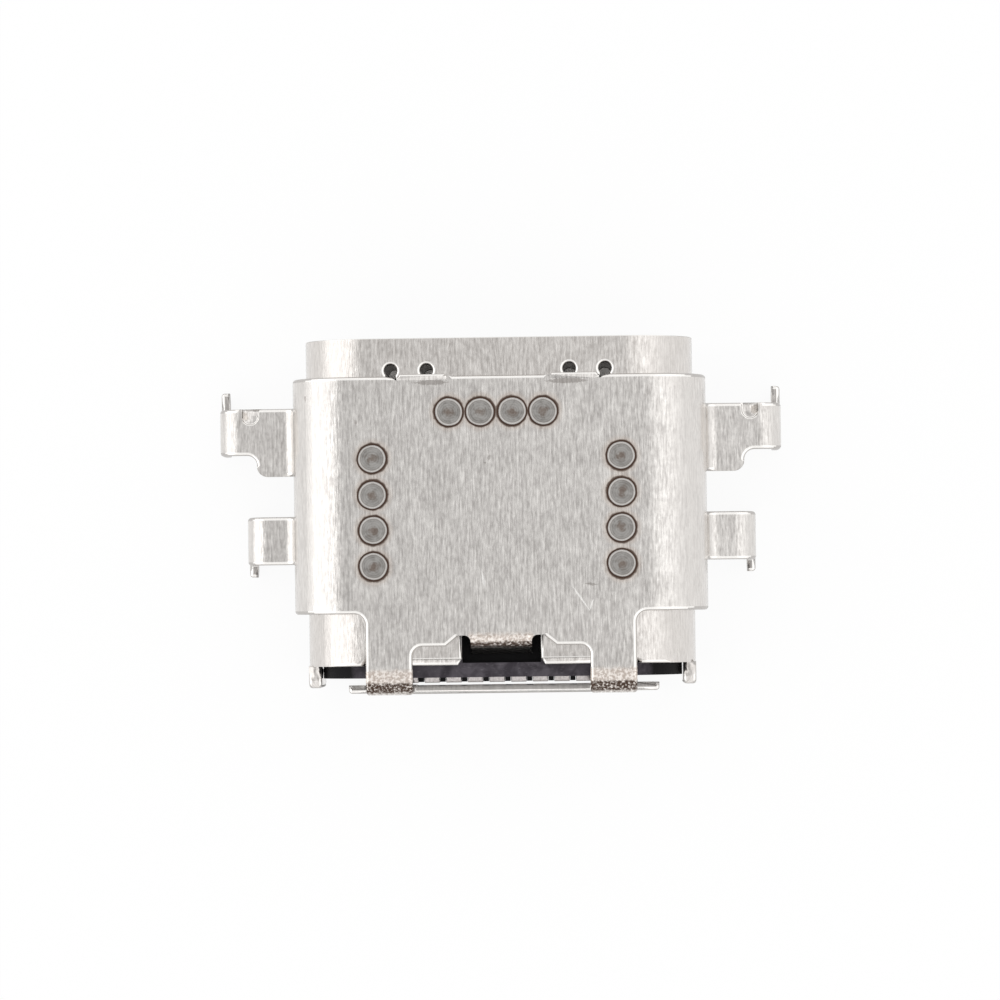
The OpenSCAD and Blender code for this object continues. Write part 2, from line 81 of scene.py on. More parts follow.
# where the rolled edges have no room: nearest |x|, farthest |x|, nearest y, farthest y
COVER_SPARED = (
    (5.0, 5.85, 2.85, 3.2),             # both ends of the front wing's arch
    (0.5, 0.85, 6.8, 7.5),              # the sides of the middle tab
    (1.1, 2.4, 0.94, 1.1),              # the front edge behind a coined lip
    (1.1, 1.19, 0.86, 0.9),             # the lip's inner corner
    (5.995, 6.035, 1.45, 1.75),         # the outer end of the front wing's dimple
)
SHELL_SPARED = (
    (3.9, 4.7, 7.4, 7.6),               # the rear corners beside the legs
    (2.9, 3.2, 7.3, 7.45),              # the ends of the coined strip
)
SPARED_END = 0.12           # how far an edge stays sharp beyond a spared zone's corner

# the folded sheets
COVER_SIDE_BEND = 4.4       # |x| beyond which the cover's strip runs down its side
COVER_REAR_BEND = 7.85      # y beyond which it runs down its rear
SHELL_SIDE_BEND = 3.2       # |x| beyond which the shell's strip runs down its side
COVER_SIDE = 3.9            # |x| beyond which an upright face can be the cover's outer skin
COVER_BACK = 8.05           # y beyond which one facing back is
WING_TOP = -0.45            # height of the wings' upper side
COVER_PLATE_ABOVE = 1.0     # height above which level faces belong to the top plate
SKIN_REACH = 0.12           # how far from the wings' top level a level face counts as their skin
SHELL_INSIDE = 1.45         # distance from the mouth's axis within which the shell is inside
MOUTH_WIDTH = 8.34
MOUTH_HEIGHT = 2.56
MOUTH_STRAIGHT = (MOUTH_WIDTH - MOUTH_HEIGHT) / 2       # half the straight part of the mouth
MOUTH_RIM = 0.05                        # what lies before this is the mouth's rim

# how a face leans, told by its normal's share along a direction
FACING = 0.5                # least share towards the way a face faces
FACING_IN = 0.6             # the same towards the inside of the shell
TURNED_UP = 0.3             # least upward share on the cover's upper skin
LEVEL = 0.95                # least upward share on a level face
SLOT_WALL = 0.3             # most upward share on the wall of a slot or hole
UPRIGHT = 0.35              # most upward share on a sheared wall
STEEP_RIM = 0.6             # the same on a rounded rim that gets the sheared walls' grey as painted shade
SQUARE = 0.999              # least share along an axis on a face that is put back in its plane

# the welds
WELD_RADIUS = 0.36
WELD_RINGS = 22             # rings of faces in a weld's mesh
WELD_STEPS = 64             # faces in a ring
WELD_SKIN = 0.004           # height of the pool above the plate
WELD_FOOT = 0.01            # how far the rim sinks into it
WELD_BEAD_HEIGHT = 0.01
WELD_BEAD_REACH = 0.8       # where the bead is, as a share of the radius
WELD_BEAD_WIDTH = 0.07
WELD_EYE_DEPTH = 0.004
WELD_EYE_WIDTH = 0.15
WELD_RIPPLE_HEIGHT = 0.0012
WELD_RIPPLES = 40.0         # radians of ripple over the radius
WELD_ROW_BEHIND_EDGE = 0.83
WELD_ROW_PITCH = 0.72
WELD_COLUMN_SIDE = 2.84
WELD_COLUMN_PITCH = 0.8235
WELD_COLUMN_MIDDLE = 3.99
WELD_SHIFT = 0.05           # how far the welds sit to one side of the cover's middle
WELD_STRAY = 0.012          # how far each strays from its place
WELD_OVAL = 0.012           # how far a weld's outline is oval, as a share of the radius
WELD_LOBES = 0.005          # how deep its five lobes are
WELD_DRIFT = 0.02           # how far its inner rings lie to one side
WELD_DARK_INNER_RING = (0.69, 0.73)              # shares of the radius between which a dark ring is painted just inside the bead
WELD_BEAD_HIGHLIGHT = (0.76, 0.835)          # between which a painted highlight lies on the bead's top
WELD_DARK_RIM = (0.84, 0.885)           # and over which the rim turns dark
WELD_HALO = (0.35, 0.5)                 # distances from its middle over which its straw tint fades
WELD_SCORCH = (0.345, 0.385)            # and over which the scorch does

# depth of each finish's relief
STRIP_RELIEF = 0.006        # streaks of the rolled strip
PLATE_RELIEF = 0.0016
CONTACT_RELIEF = 0.001
WELD_RELIEF = 0.003
PIT_DEPTH = 0.004           # pits in the mouldings

# worn places
LIT_TOP_ABOVE = 1.1                        # height above which the mouldings' up-facing faces are painted lighter grey as painted light, the lower faces near-black as painted shade
BEND_ABOVE = 1.0                        # height above which the rear bends' skin is roughened
STRAP_BEND = (7.6, 7.89, 8.12)          # y where the straps roughen, where they darken, and the end
TAB_BEND = (6.78, 6.97, 7.1)            # the same on the middle tab
STRAP_INSIDE = 1.9                      # |x| where the straps begin
TAB_HALF = 0.72                         # |x| where the tab ends
TIN_STARTS = 6.2                        # y where the contacts' gold gives way to tin
SCRATCHES = (                           # start, end and width of pale scratches on the cover
    ((-1.64, 5.72), (-2.03, 6.28), 0.035),
    ((-2.03, 6.28), (-2.12, 6.02), 0.03),
    ((0.42, 5.35), (0.36, 5.72), 0.03),
)
SMUDGES_AND_LIP_SHADOWS = (                             # the same of dull marks; the last two are painted shadows behind the lips
    ((-1.92, 5.66), (-2.22, 5.7), 0.05),
    ((0.2, 2.68), (0.24, 2.84), 0.05),
    ((0.3, 2.86), (0.33, 2.9), 0.035),
    ((-0.96, 2.05), (-1.0, 2.13), 0.04),
    ((1.1, 1.03), (1.95, 1.03), 0.1),
    ((-1.05, 1.03), (-2.1, 1.03), 0.1),
)

# light, floor and camera
TENT_LEVEL = 2.0
SIDE_LEVELS = (             # light by how far a direction leans along X
    (-1.0, 0.98),
    (-0.94, 1.1),
    (-0.7, 1.25),
    (-0.35, 1.18),
    (-0.06, 0.87),
    (0.06, 0.7),
    (0.25, 0.71),
    (0.5, 0.82),
    (0.56, 1.45),
    (1.0, 1.6),
)
END_LEVELS = (              # light by how far a direction leans along Y
    (-1.0, 1.05),
    (-0.6, 0.98),
    (-0.4, 1.1),
    (-0.14, 0.0),
    (0.14, 0.0),
    (0.4, 1.1),
    (0.6, 0.98),
    (1.0, 1.05),
)
FLOOR_HALF = 400            # half the floor's side
FLOOR_GLOW = 0.92           # how far the floor glows white by itself
SHADED_SIDE = 4.2           # it stops within this far to each side of the socket's middle
SHADED_END = 3.55           # and within this far to the front and rear
SHADED_MIDDLE = 3.8         # of this y
SHADED_SOFT = 0.3           # softness of that border
VIEW_DISTANCE = 120.0
VIEW_LENS = 186.4
VIEW_SENSOR = 36.0
VIEW_TARGET = (0.014, 3.70, 0.0)
VIEW_BEHIND = 1.2           # degrees the camera leans over the socket's rear
VIEW_SIDE = 1.0             # degrees it leans to the side
VIEW_ROLL = 0.75            # degrees the socket is turned in the view

# read from the frame, in metres
COVER_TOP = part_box("outer_cover")[1].z
SHELL_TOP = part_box("inner_shell")[1].z
COVER_FRONT = min(
    vertex.co.y
    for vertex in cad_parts["outer_cover"].data.vertices
    if vertex.co.z > COVER_TOP - 0.05 * MM
)


# ---------------------------------------------------------------- node helpers
def feed(tree, made, inputs):
    """Feeds a node's inputs with values or with other nodes' outputs."""
    for key, value in inputs.items():
        if isinstance(value, bpy.types.NodeSocket):
            tree.links.new(value, made.inputs[key])
        else:
            made.inputs[key].default_value = value
    return made


def put(tree, kind, inputs=None, **settings):
    """Places a node, sets it and feeds it."""
    made = tree.nodes.new("ShaderNode" + kind)
    for key, value in settings.items():
        setattr(made, key, value)
    return feed(tree, made, inputs or {})


def place_group(tree, group, inputs):
    """Places a shared effect with a material's own values."""
    return put(tree, "Group", inputs, node_tree=group)


def calc(tree, operation, first, second=0.0, third=0.0):
    """The result of one operation on numbers."""
    return put(tree, "Math", {0: first, 1: second, 2: third}, operation=operation).outputs[0]


def times(tree, first, second):
    """Two values multiplied."""
    return calc(tree, "MULTIPLY", first, second)


def remap(tree, value, low, high, to_low=0.0, to_high=1.0, smooth=True):
    """A value taken from one range to another and held at its ends."""
    made = put(
        tree,
        "MapRange",
        {"Value": value, "From Min": low, "From Max": high, "To Min": to_low, "To Max": to_high},
        interpolation_type="SMOOTHSTEP" if smooth else "LINEAR",
    )
    return made.outputs["Result"]


def band(tree, value, low, high, soft):
    """One between low and high, falling to nothing over soft on each side."""
    rise = remap(tree, value, low - soft, low + soft)
    fall = remap(tree, value, high - soft, high + soft, 1.0, 0.0)
    return times(tree, rise, fall)


def blend_colour(tree, amount, first, second, mode="MIX"):
    """The first colour, taken to the second by an amount."""
    made = put(tree, "Mix", {0: amount, 6: first, 7: second}, data_type="RGBA", blend_type=mode)
    return made.outputs[2]


def tint(tree, colour, mask, share, shade):
    """A colour, taken to a shade by a share of a mask."""
    return blend_colour(tree, times(tree, mask, share), colour, shade)


def speckle(tree, place, scale, detail=2.0, roughness=0.5, distortion=0.0):
    """Cloudy unevenness, about a half on the whole."""
    made = put(
        tree,
        "TexNoise",
        {
            "Vector": place,
            "Scale": scale,
            "Detail": detail,
            "Roughness": roughness,
            "Distortion": distortion,
        },
    )
    return made.outputs["Fac"]


def stretched(tree, place, across, along):
    """A place with its own scale along Y."""
    made = put(tree, "VectorMath", {0: place, 1: (across, along, across)}, operation="MULTIPLY")
    return made.outputs["Vector"]


def axes(tree, place):
    """The X, Y and Z of a place or a direction."""
    return put(tree, "SeparateXYZ", {0: place}).outputs


def millimetres(tree):
    """Where a point of the piece is in the socket, in mm."""
    where = put(tree, "TexCoord").outputs["Object"]
    return put(tree, "VectorMath", {0: where, "Scale": 1 / MM}, operation="SCALE").outputs["Vector"]


def sheet_place(tree):
    """Where a point is on the flat sheet before it was folded, in mm."""
    return put(tree, "Attribute", attribute_name="sheet_place").outputs["Vector"]


def attribute_value(tree, name):
    """A value that the mesh carries."""
    return put(tree, "Attribute", attribute_name=name).outputs["Fac"]


def new_group(name, ins, outs):
    """An empty node group with its named inputs and outputs."""
    group = bpy.data.node_groups.new(name, "ShaderNodeTree")
    for label, kind, value in ins:
        made = group.interface.new_socket(label, in_out="INPUT", socket_type="NodeSocket" + kind)
        made.default_value = value
    for label, kind in outs:
        group.interface.new_socket(label, in_out="OUTPUT", socket_type="NodeSocket" + kind)
    return group, group.nodes.new("NodeGroupInput"), group.nodes.new("NodeGroupOutput")


def new_material(name):
    """An empty material and its node tree."""
    material = bpy.data.materials.new(name)
    material.use_nodes = True
    material.node_tree.nodes.clear()
    return material, material.node_tree


# ---------------------------------------------------------------- shared effects
def rolled_grain_group():
    """Pale strokes on a greyer ground that the rolling mill leaves along the strip."""
    group, entry, leave = new_group(
        "rolled_grain",
        [
            ("Place", "Vector", (0.0, 0.0, 0.0)),
            ("Fine", "Float", 18.0),
            ("Length", "Float", 0.5),
        ],
        [("Tone", "Float"), ("Height", "Float")],
    )
    fine = entry.outputs["Fine"]
    along = calc(group, "DIVIDE", 1.0, entry.outputs["Length"])
    grid = put(group, "CombineXYZ", {"X": fine, "Y": along, "Z": fine}).outputs["Vector"]
    scaled = put(group, "VectorMath", {0: entry.outputs["Place"], 1: grid}, operation="MULTIPLY")
    place = scaled.outputs["Vector"]
    strokes = speckle(group, place, 1.0, 2.0, 0.6, 0.15)
    hairs = speckle(group, stretched(group, place, 1.9, 2.4), 1.0, 2.0, 0.65)
    blots = speckle(group, stretched(group, place, 0.55, 3.2), 1.0, 3.0, 0.6, 0.3)
    clouds = speckle(group, stretched(group, place, 0.09, 0.5), 1.0, 2.0, 0.5)
    tone = calc(group, "MULTIPLY_ADD", strokes, 0.42, times(group, hairs, 0.2))
    tone = calc(group, "MULTIPLY_ADD", blots, 0.26, tone)
    tone = calc(group, "MULTIPLY_ADD", clouds, 0.12, tone)
    group.links.new(remap(group, tone, 0.405, 0.615, smooth=False), leave.inputs["Tone"])
    height = calc(group, "MULTIPLY_ADD", blots, 0.5, times(group, strokes, 0.6))
    group.links.new(calc(group, "MULTIPLY_ADD", hairs, 0.25, height), leave.inputs["Height"])
    return group


def handling_marks_group():
    """Sparse dark specks and light rubs from handling."""
    group, entry, leave = new_group(
        "handling_marks",
        [("Place", "Vector", (0.0, 0.0, 0.0)), ("Spacing", "Float", 0.9)],
        [("Specks", "Float"), ("Rubs", "Float")],
    )
    place = entry.outputs["Place"]
    density = calc(group, "DIVIDE", 1.0, entry.outputs["Spacing"])
    cells = put(
        group,
        "TexVoronoi",
        {"Vector": place, "Scale": density, "Randomness": 1.0},
        feature="F1",
    )
    chosen = axes(group, cells.outputs["Color"])
    wobble = speckle(group, place, 18.0, 2.0)
    reach = calc(group, "MULTIPLY_ADD", wobble, 0.05, times(group, chosen["Y"], 0.03))
    near = remap(group, calc(group, "SUBTRACT", reach, cells.outputs["Distance"]), -0.008, 0.012)
    kept = remap(group, chosen["X"], 0.62, 0.66)
    group.links.new(times(group, near, kept), leave.inputs["Specks"])
    rub_place = stretched(group, place, 0.9, 1.4)
    rubs = remap(group, speckle(group, rub_place, 1.0, 4.0, 0.6, 0.8), 0.56, 0.74)
    group.links.new(rubs, leave.inputs["Rubs"])
    return group


def four_spots_group():
    """Distance in mm to the nearest of four spots in a straight row."""
    group, entry, leave = new_group(
        "four_spots",
        [
            ("Along", "Float", 0.0),
            ("Across", "Float", 0.0),
            ("Pitch", "Float", 1.0),
        ],
        [("Distance", "Float")],
    )
    pitch = entry.outputs["Pitch"]
    folded = calc(group, "SUBTRACT", calc(group, "ABSOLUTE", entry.outputs["Along"]), pitch)
    folded = calc(group, "SUBTRACT", calc(group, "ABSOLUTE", folded), times(group, pitch, 0.5))
    flat = put(group, "CombineXYZ", {"X": folded, "Y": entry.outputs["Across"]}).outputs["Vector"]
    distance = put(group, "VectorMath", {0: flat}, operation="LENGTH").outputs["Value"]
    group.links.new(distance, leave.inputs["Distance"])
    return group


ROLLED_GRAIN = rolled_grain_group()
HANDLING_MARKS = handling_marks_group()
FOUR_SPOTS = four_spots_group()


# ---------------------------------------------------------------- materials
SPECK_BROWN = (0.3, 0.26, 0.24, 1)
SMUDGE_AND_SHADOW_GREY = (0.3, 0.27, 0.25, 1)
SCRATCH_WHITE = (1.0, 0.98, 0.95, 1)
# grey of the sheared walls, also laid on steep rims as painted shade
SHEARED_GREY_AND_RIM_SHADE = (0.36, 0.34, 0.325, 1)
STRAW_TINT = (0.62, 0.5, 0.41, 1)
SCORCH_BROWN = (0.09, 0.055, 0.04, 1)
BEND_GRAIN_BROWN = (0.075, 0.05, 0.038, 1)


def finish_metal(tree, colour, roughness, height, bump_mm):
    """Bare metal with a colour, a roughness and a relief of so many mm."""
    bump = put(
        tree,
        "Bump",
        {"Strength": 1.0, "Distance": bump_mm * MM, "Height": height},
    )
    surface = put(
        tree,
        "BsdfPrincipled",
        {"Base Color": colour, "Metallic": 1.0, "Roughness": roughness, "Normal": bump.outputs["Normal"]},
    )
    put(tree, "OutputMaterial", {"Surface": surface.outputs["BSDF"]})


def weld_heat(tree, place):
    """Masks of the straw-brown tint and the dark scorch round the cover's welds."""
    across, along, up = axes(tree, place)
    across = calc(tree, "SUBTRACT", across, WELD_SHIFT)
    row_middle = COVER_FRONT / MM + WELD_ROW_BEHIND_EDGE
    row = place_group(
        tree,
        FOUR_SPOTS,
        {"Along": across, "Across": calc(tree, "SUBTRACT", along, row_middle), "Pitch": WELD_ROW_PITCH},
    ).outputs["Distance"]
    side = calc(tree, "SUBTRACT", calc(tree, "ABSOLUTE", across), WELD_COLUMN_SIDE)
    down = calc(tree, "SUBTRACT", along, WELD_COLUMN_MIDDLE)
    column = place_group(
        tree,
        FOUR_SPOTS,
        {"Along": down, "Across": side, "Pitch": WELD_COLUMN_PITCH},
    ).outputs["Distance"]
    nearest = calc(tree, "MINIMUM", row, column)
    on_top = remap(tree, up, COVER_TOP / MM - 0.3, COVER_TOP / MM - 0.1)
    wobble = calc(tree, "MULTIPLY_ADD", speckle(tree, place, 8.0, 3.0), 0.06, -0.03)
    uneven = calc(tree, "ADD", nearest, wobble)
    halo = times(tree, remap(tree, uneven, *WELD_HALO, 1.0, 0.0), on_top)
    scorch = times(tree, remap(tree, uneven, *WELD_SCORCH, 1.0, 0.0), on_top)
    return halo, scorch


def bend_strain(tree, place):
    """Masks of the roughened skin and of its dark grains on the cover's tight rear bends."""
    across, along, up = axes(tree, place)
    side = calc(tree, "ABSOLUTE", across)
    outer = remap(tree, up, BEND_ABOVE, BEND_ABOVE + 0.2)
    on_strap = times(tree, remap(tree, side, STRAP_INSIDE, STRAP_INSIDE + 0.1), outer)
    on_tab = times(tree, remap(tree, side, TAB_HALF, TAB_HALF + 0.05, 1.0, 0.0), outer)
    tears = speckle(tree, place, 9.0, 3.0, 0.65)
    ragged = calc(tree, "MULTIPLY_ADD", tears, 0.16, calc(tree, "SUBTRACT", along, 0.08))
    masks = []
    for first, soft in ((0, 0.07), (1, 0.04)):
        strap = times(tree, band(tree, ragged, STRAP_BEND[first], STRAP_BEND[2], soft), on_strap)
        tab = times(tree, band(tree, ragged, TAB_BEND[first], TAB_BEND[2], soft), on_tab)
        masks.append(calc(tree, "MAXIMUM", strap, tab))
    return masks


def mark_line(tree, place, start, end, width):
    """Mask of a straight mark on the cover's top, tapering off at both ends."""
    middle = [(first + last) / 2 for first, last in zip(start, end)]
    turn = math.atan2(end[1] - start[1], end[0] - start[0])
    half = math.hypot(end[0] - start[0], end[1] - start[1]) / 2
    moved = put(
        tree,
        "Mapping",
        {"Vector": place, "Location": (middle[0], middle[1], 0.0), "Rotation": (0.0, 0.0, turn)},
        vector_type="TEXTURE",
    ).outputs["Vector"]
    along, across, _ = axes(tree, moved)
    reach = calc(tree, "DIVIDE", calc(tree, "ABSOLUTE", along), half)
    room = times(tree, remap(tree, reach, 0.3, 1.0, 1.0, 0.0), width / 2)
    ragged = calc(tree, "MULTIPLY_ADD", speckle(tree, place, 22.0, 2.0), width, -width / 2)
    gap = calc(tree, "SUBTRACT", calc(tree, "ABSOLUTE", calc(tree, "ADD", across, ragged)), room)
    line = remap(tree, gap, -0.006, 0.014, 1.0, 0.0)
    return times(tree, line, remap(tree, reach, 0.9, 1.1, 1.0, 0.0))


def rubbed_grain(tree, tone):
    """The strip's tone, evened out on the sides that the bending dies rubbed smooth."""
    facing = axes(tree, put(tree, "NewGeometry").outputs["Normal"])["X"]
    share = remap(tree, calc(tree, "ABSOLUTE", facing), 0.25, 0.6, 1.0, 0.4)
    return calc(tree, "MULTIPLY_ADD", calc(tree, "SUBTRACT", tone, 0.5), share, 0.5)


def cover_steel():
    """Rolled strip with weld scorch, scratches and the roughened skin of the rear bends; painted highlights
    on its rims, painted shade on its steep rims and painted shadows behind the lips.
    """
    material, tree = new_material("cover_steel_rolled")
    place = millimetres(tree)
    flat_place = sheet_place(tree)
    grain = place_group(tree, ROLLED_GRAIN, {"Place": flat_place, "Fine": 20.0, "Length": 0.5})
    marks = place_group(tree, HANDLING_MARKS, {"Place": flat_place, "Spacing": 1.7})
    tone = rubbed_grain(tree, grain.outputs["Tone"])
    colour = blend_colour(tree, tone, (0.51, 0.485, 0.465, 1), (0.93, 0.9, 0.865, 1))
    colour = tint(tree, colour, marks.outputs["Rubs"], 0.2, (0.86, 0.83, 0.8, 1))
    colour = tint(tree, colour, marks.outputs["Specks"], 0.5, SPECK_BROWN)
    for start, end, width in SCRATCHES:
        colour = blend_colour(tree, mark_line(tree, place, start, end, width), colour, SCRATCH_WHITE)
    # dull marks, and painted shadows behind the lips
    for start, end, width in SMUDGES_AND_LIP_SHADOWS:
        colour = tint(tree, colour, mark_line(tree, place, start, end, width), 0.6, SMUDGE_AND_SHADOW_GREY)
    halo, scorch = weld_heat(tree, place)
    colour = tint(tree, colour, halo, 0.4, STRAW_TINT)
    colour = tint(tree, colour, scorch, 0.9, SCORCH_BROWN)
    # painted highlight: the rolled rims are painted nearly white
    colour = tint(tree, colour, attribute_value(tree, "punched_rim"), 0.9, (0.95, 0.925, 0.895, 1))
    # the sheared walls' own grey, and painted shade on the steep rims
    wall = attribute_value(tree, "sheared_wall_and_rim_shade")
    colour = tint(tree, colour, wall, 0.7, SHEARED_GREY_AND_RIM_SHADE)
    rough_skin, dark_grains = bend_strain(tree, place)
    peel = speckle(tree, place, 17.0, 3.0, 0.65)
    cream = blend_colour(tree, remap(tree, peel, 0.4, 0.6), (0.5, 0.41, 0.35, 1), (0.97, 0.9, 0.84, 1))
    colour = tint(tree, colour, rough_skin, 0.75, cream)
    grains = times(tree, dark_grains, remap(tree, peel, 0.48, 0.66, 1.0, 0.15))
    colour = blend_colour(tree, grains, colour, BEND_GRAIN_BROWN)
    roughness = remap(tree, tone, 0.0, 1.0, 0.21, 0.14, smooth=False)
    roughness = calc(tree, "MULTIPLY_ADD", rough_skin, 0.24, roughness)
    roughness = calc(tree, "MULTIPLY_ADD", wall, 0.2, roughness)
    height = calc(tree, "MULTIPLY_ADD", times(tree, peel, rough_skin), 1.2, grain.outputs["Height"])
    finish_metal(tree, colour, roughness, height, STRIP_RELIEF)
    return material


def shell_steel():
    """The same strip as the cover, with the side that the plug slides in painted darker as painted shade
    inside the mouth.
    """
    material, tree = new_material("shell_steel_rolled")
    flat_place = sheet_place(tree)
    grain = place_group(tree, ROLLED_GRAIN, {"Place": flat_place, "Fine": 20.0, "Length": 0.45})
    marks = place_group(tree, HANDLING_MARKS, {"Place": flat_place, "Spacing": 1.9})
    tone = rubbed_grain(tree, grain.outputs["Tone"])
    colour = blend_colour(tree, tone, (0.51, 0.48, 0.455, 1), (0.9, 0.865, 0.83, 1))
    colour = tint(tree, colour, marks.outputs["Rubs"], 0.2, (0.84, 0.81, 0.78, 1))
    colour = tint(tree, colour, marks.outputs["Specks"], 0.5, SPECK_BROWN)
    # painted highlight: the rolled rims are painted nearly white
    colour = tint(tree, colour, attribute_value(tree, "punched_rim"), 0.85, (0.94, 0.915, 0.885, 1))
    # the sheared walls' own grey, and painted shade on the steep rims
    wall = attribute_value(tree, "sheared_wall_and_rim_shade")
    colour = tint(tree, colour, wall, 0.7, SHEARED_GREY_AND_RIM_SHADE)
    # painted shade: the shell's inner side is painted dark grey so that the mouth looks dark
    inner = attribute_value(tree, "inner_side")
    inner_painted_shade = blend_colour(tree, tone, (0.17, 0.16, 0.152, 1), (0.3, 0.288, 0.275, 1))
    colour = blend_colour(tree, inner, colour, inner_painted_shade)
    roughness = remap(tree, tone, 0.0, 1.0, 0.21, 0.14, smooth=False)
    roughness = calc(tree, "MULTIPLY_ADD", inner, 0.14, roughness)
    roughness = calc(tree, "MULTIPLY_ADD", wall, 0.2, roughness)
    finish_metal(tree, colour, roughness, grain.outputs["Height"], STRIP_RELIEF)
    return material


def plate_steel():
    """Brighter strip of the plates in the tongue."""
    material, tree = new_material("plate_steel_bright")
    place = millimetres(tree)
    grain = place_group(tree, ROLLED_GRAIN, {"Place": place, "Fine": 22.0, "Length": 0.4})
    marks = place_group(tree, HANDLING_MARKS, {"Place": place, "Spacing": 0.8})
    tone = grain.outputs["Tone"]
    colour = blend_colour(tree, tone, (0.5, 0.49, 0.48, 1), (0.84, 0.825, 0.8, 1))
    colour = tint(tree, colour, marks.outputs["Specks"], 0.4, (0.25, 0.22, 0.2, 1))
    roughness = remap(tree, tone, 0.0, 1.0, 0.34, 0.24, smooth=False)
    finish_metal(tree, colour, roughness, grain.outputs["Height"], PLATE_RELIEF)
    return material


def contact_gold():
    """Gold on the tongue's pads, bright tin on the tails."""
    material, tree = new_material("contact_gold_and_tin")
    place = millimetres(tree)
    grain = place_group(tree, ROLLED_GRAIN, {"Place": place, "Fine": 30.0, "Length": 0.25})
    tone = grain.outputs["Tone"]
    gold = blend_colour(tree, tone, (0.7, 0.45, 0.15, 1), (0.98, 0.72, 0.32, 1))
    tin = blend_colour(tree, tone, (0.4, 0.37, 0.36, 1), (0.66, 0.62, 0.61, 1))
    along = axes(tree, place)["Y"]
    uneven = calc(tree, "MULTIPLY_ADD", speckle(tree, place, 6.0, 2.0), 0.2, along)
    tinned = remap(tree, uneven, TIN_STARTS, TIN_STARTS + 0.2)
    colour = blend_colour(tree, tinned, gold, tin)
    roughness = remap(tree, tone, 0.0, 1.0, 0.3, 0.2, smooth=False)
    roughness = calc(tree, "MULTIPLY_ADD", tinned, 0.1, roughness)
    finish_metal(tree, colour, roughness, grain.outputs["Height"], CONTACT_RELIEF)
    return material


def black_plastic():
    """Glass-filled black moulding: fine pits, pale fibre flecks and a soft sheen, painted lighter grey on
    its high up-facing faces as painted light and near-black below as painted shade.
    """
    material, tree = new_material("black_moulding")
    place = millimetres(tree)
    up = axes(tree, place)["Z"]
    facing = axes(tree, put(tree, "NewGeometry").outputs["Normal"])["Z"]
    cloud = speckle(tree, place, 2.6, 4.0, 0.6, 0.5)
    pits = speckle(tree, place, 34.0, 3.0, 0.6)
    fibres = remap(tree, speckle(tree, stretched(tree, place, 9.0, 34.0), 1.0, 2.0), 0.6, 0.75)
    # painted shade: the low faces are near-black; painted light: the high up-facing faces are lighter grey
    # with fibre flecks
    recess_shade_black = blend_colour(tree, cloud, (0.002, 0.0018, 0.002, 1), (0.005, 0.0044, 0.005, 1))
    patches = remap(tree, cloud, 0.35, 0.65)
    lit_top_grey = blend_colour(tree, patches, (0.038, 0.033, 0.04, 1), (0.085, 0.076, 0.088, 1))
    lit_top_grey = tint(tree, lit_top_grey, fibres, 0.4, (0.17, 0.16, 0.17, 1))
    high = remap(tree, up, LIT_TOP_ABOVE, LIT_TOP_ABOVE + 0.1)
    lit_top_mask = times(tree, high, remap(tree, facing, 0.5, 0.9))
    colour = blend_colour(tree, lit_top_mask, recess_shade_black, lit_top_grey)
    roughness = remap(tree, pits, 0.3, 0.7, 0.42, 0.6, smooth=False)
    bump = put(tree, "Bump", {"Strength": 0.7, "Distance": PIT_DEPTH * MM, "Height": pits})
    surface = put(
        tree,
        "BsdfPrincipled",
        {
            "Base Color": colour,
            "Roughness": roughness,
            "Normal": bump.outputs["Normal"],
            "Specular IOR Level": 0.12,
        },
    )
    put(tree, "OutputMaterial", {"Surface": surface.outputs["BSDF"]})
    return material


def weld_metal():
    """Remelted steel: dark skin round the rim, a painted highlight ring on the bead, and a grey rippled
    pool with a brown swirl.
    """
    material, tree = new_material("weld_metal")
    place = millimetres(tree)
    reach = attribute_value(tree, "weld_reach")
    drift = calc(tree, "MULTIPLY_ADD", speckle(tree, place, 4.0, 3.0, 0.6), 0.07, -0.035)
    uneven = calc(tree, "ADD", reach, drift)
    cloud = speckle(tree, place, 6.0, 4.0, 0.6, 0.6)
    patches = remap(tree, cloud, 0.35, 0.65)
    colour = blend_colour(tree, patches, (0.235, 0.224, 0.21, 1), (0.345, 0.335, 0.32, 1))
    wave = calc(tree, "SINE", times(tree, uneven, WELD_RIPPLES))
    ripple = calc(tree, "MULTIPLY_ADD", wave, 0.5, 0.5)
    colour = tint(tree, colour, ripple, 0.35, (0.46, 0.44, 0.425, 1))
    swirl = remap(tree, calc(tree, "MULTIPLY_ADD", cloud, 0.9, uneven), 0.5, 0.9, 1.0, 0.0)
    colour = tint(tree, colour, swirl, 0.7, (0.17, 0.125, 0.1, 1))
    dark_inner_ring = band(tree, uneven, *WELD_DARK_INNER_RING, 0.035)
    colour = tint(tree, colour, dark_inner_ring, 0.55, (0.17, 0.15, 0.135, 1))
    # painted highlight on the bead's top
    pale = band(tree, uneven, *WELD_BEAD_HIGHLIGHT, 0.045)
    colour = tint(tree, colour, pale, 0.75, (0.72, 0.69, 0.66, 1))
    skin = remap(tree, calc(tree, "MULTIPLY_ADD", drift, 0.4, reach), *WELD_DARK_RIM)
    colour = blend_colour(tree, skin, colour, (0.065, 0.04, 0.03, 1))
    roughness = remap(tree, cloud, 0.3, 0.7, 0.34, 0.46, smooth=False)
    finish_metal(tree, colour, roughness, speckle(tree, place, 24.0, 3.0), WELD_RELIEF)
    return material


COVER_STEEL = cover_steel()
SHELL_STEEL = shell_steel()
PLATE_STEEL = plate_steel()
CONTACT_GOLD = contact_gold()
BLACK_PLASTIC = black_plastic()
WELD_METAL = weld_metal()


